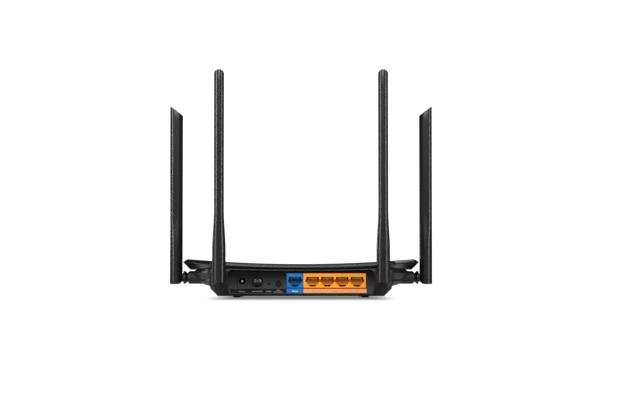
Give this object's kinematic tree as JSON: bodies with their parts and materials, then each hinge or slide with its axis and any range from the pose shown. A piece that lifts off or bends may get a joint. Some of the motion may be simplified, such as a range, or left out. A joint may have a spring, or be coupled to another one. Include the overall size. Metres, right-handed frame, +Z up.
{
  "type": "wireless router",
  "caption": "Wireless router with a low hexagonal case, a row of network sockets along one side, and hinged blade aerials that swivel and fold.",
  "frame": {"origin": "on the plane the feet stand on, under the middle of the bounding box", "axes": "+Z up; -Y out of the port side, +Y towards the indicator side; +X to the right as seen from the port side"},
  "size_m": [0.2558, 0.1585, 0.2149],
  "materials": {
    "case_plastic": "moulded charcoal plastic",
    "hinge_plastic": "moulded black plastic",
    "button_plastic": "glossy black plastic",
    "rubber": "moulded rubber",
    "steel": "plated steel",
    "label": "printed film",
    "black_film": "printed film",
    "blue_film": "printed film",
    "orange_film": "printed film",
    "blue_socket": "moulded blue plastic",
    "orange_socket": "moulded orange plastic",
    "contact_gold": "gold-plated",
    "board": "green circuit board",
    "chip": "moulded chip package",
    "switch": "moulded switch body",
    "pad": "soft thermal pad",
    "heatsink": "extruded aluminium",
    "capacitor": "sleeved can",
    "ferrite": "ferrite",
    "led": "moulded package",
    "clear": "clear moulded plastic",
    "cable": "thin coaxial cable",
    "radiator": "brass"
  },
  "bodies": {
    "case": {"base_shell": "case_plastic", "top_cover": "case_plastic", "rubber_feet": "rubber", "case_screws": "steel", "board_screws": "steel", "rating_label": "label", "port_strip_black": "black_film", "port_strip_blue": "blue_film", "port_strip_orange": "orange_film", "main_board": "board", "wan_jack": "blue_socket", "lan_jack_block": "orange_socket", "wan_jack_contacts": "contact_gold", "lan_jack_contacts": "contact_gold", "dc_jack": "hinge_plastic", "dc_jack_pin": "steel", "power_switch": "switch", "reset_switch": "switch", "wps_switch": "switch", "processor": "chip", "thermal_pad": "pad", "heat_sink": "heatsink", "memory_chips": "chip", "radio_shields": "steel", "line_transformers": "chip", "electrolytic_capacitors": "capacitor", "power_inductors": "ferrite", "crystal": "steel", "status_leds": "led", "light_guide": "clear", "aerial_leads": "cable"},
    "power_button": {"power_button": "button_plastic"},
    "reset_plunger": {"reset_plunger": "switch"},
    "wps_button": {"wps_button": "button_plastic"},
    "rear_left_swivel": {"rear_left_aerial_knuckle": "hinge_plastic", "rear_left_aerial_hinge_pin": "steel"},
    "rear_left_aerial": {"rear_left_aerial_sleeve": "case_plastic", "rear_left_aerial_hinge_block": "hinge_plastic", "rear_left_aerial_radiator": "radiator"},
    "rear_right_swivel": {"rear_right_aerial_knuckle": "hinge_plastic", "rear_right_aerial_hinge_pin": "steel"},
    "rear_right_aerial": {"rear_right_aerial_sleeve": "case_plastic", "rear_right_aerial_hinge_block": "hinge_plastic", "rear_right_aerial_radiator": "radiator"},
    "side_left_swivel": {"side_left_aerial_knuckle": "hinge_plastic", "side_left_aerial_hinge_pin": "steel"},
    "side_left_aerial": {"side_left_aerial_sleeve": "case_plastic", "side_left_aerial_hinge_block": "hinge_plastic", "side_left_aerial_radiator": "radiator"},
    "side_right_swivel": {"side_right_aerial_knuckle": "hinge_plastic", "side_right_aerial_hinge_pin": "steel"},
    "side_right_aerial": {"side_right_aerial_sleeve": "case_plastic", "side_right_aerial_hinge_block": "hinge_plastic", "side_right_aerial_radiator": "radiator"}
  },
  "joints": [
    {"name": "power_press", "type": "slide", "parent": "case", "child": "power_button", "axis": [0, 1, 0], "range_m": [0, 0.0025], "stiffness_N_per_m": 300},
    {"name": "reset_press", "type": "slide", "parent": "case", "child": "reset_plunger", "axis": [0, 1, 0], "range_m": [0, 0.0004], "stiffness_N_per_m": 800},
    {"name": "wps_press", "type": "slide", "parent": "case", "child": "wps_button", "axis": [0, 1, 0], "range_m": [0, 0.0006], "stiffness_N_per_m": 600},
    {"name": "rear_left_swivel", "type": "hinge", "parent": "case", "child": "rear_left_swivel", "pos_m": [-0.0772, -0.06175, 0.0201], "axis": [0, 1, 0], "range_deg": [-90, 45]},
    {"name": "rear_left_fold", "type": "hinge", "parent": "rear_left_swivel", "child": "rear_left_aerial", "pos_m": [-0.0772, -0.07303, 0.0201], "axis": [1, 0, 0], "range_deg": [0, 90]},
    {"name": "rear_right_swivel", "type": "hinge", "parent": "case", "child": "rear_right_swivel", "pos_m": [0.0772, -0.06175, 0.0201], "axis": [0, 1, 0], "range_deg": [-45, 90]},
    {"name": "rear_right_fold", "type": "hinge", "parent": "rear_right_swivel", "child": "rear_right_aerial", "pos_m": [0.0772, -0.07303, 0.0201], "axis": [1, 0, 0], "range_deg": [0, 90]},
    {"name": "side_left_swivel", "type": "hinge", "parent": "case", "child": "side_left_swivel", "pos_m": [-0.1104, 0.00125, 0.01905], "axis": [1, 0, 0], "range_deg": [-90, 90]},
    {"name": "side_left_fold", "type": "hinge", "parent": "side_left_swivel", "child": "side_left_aerial", "pos_m": [-0.12168, 0.00125, 0.01905], "axis": [0, -1, 0], "range_deg": [0, 90]},
    {"name": "side_right_swivel", "type": "hinge", "parent": "case", "child": "side_right_swivel", "pos_m": [0.1104, 0.00125, 0.01905], "axis": [1, 0, 0], "range_deg": [-90, 90]},
    {"name": "side_right_fold", "type": "hinge", "parent": "side_right_swivel", "child": "side_right_aerial", "pos_m": [0.12168, 0.00125, 0.01905], "axis": [0, 1, 0], "range_deg": [0, 90]}
  ]
}
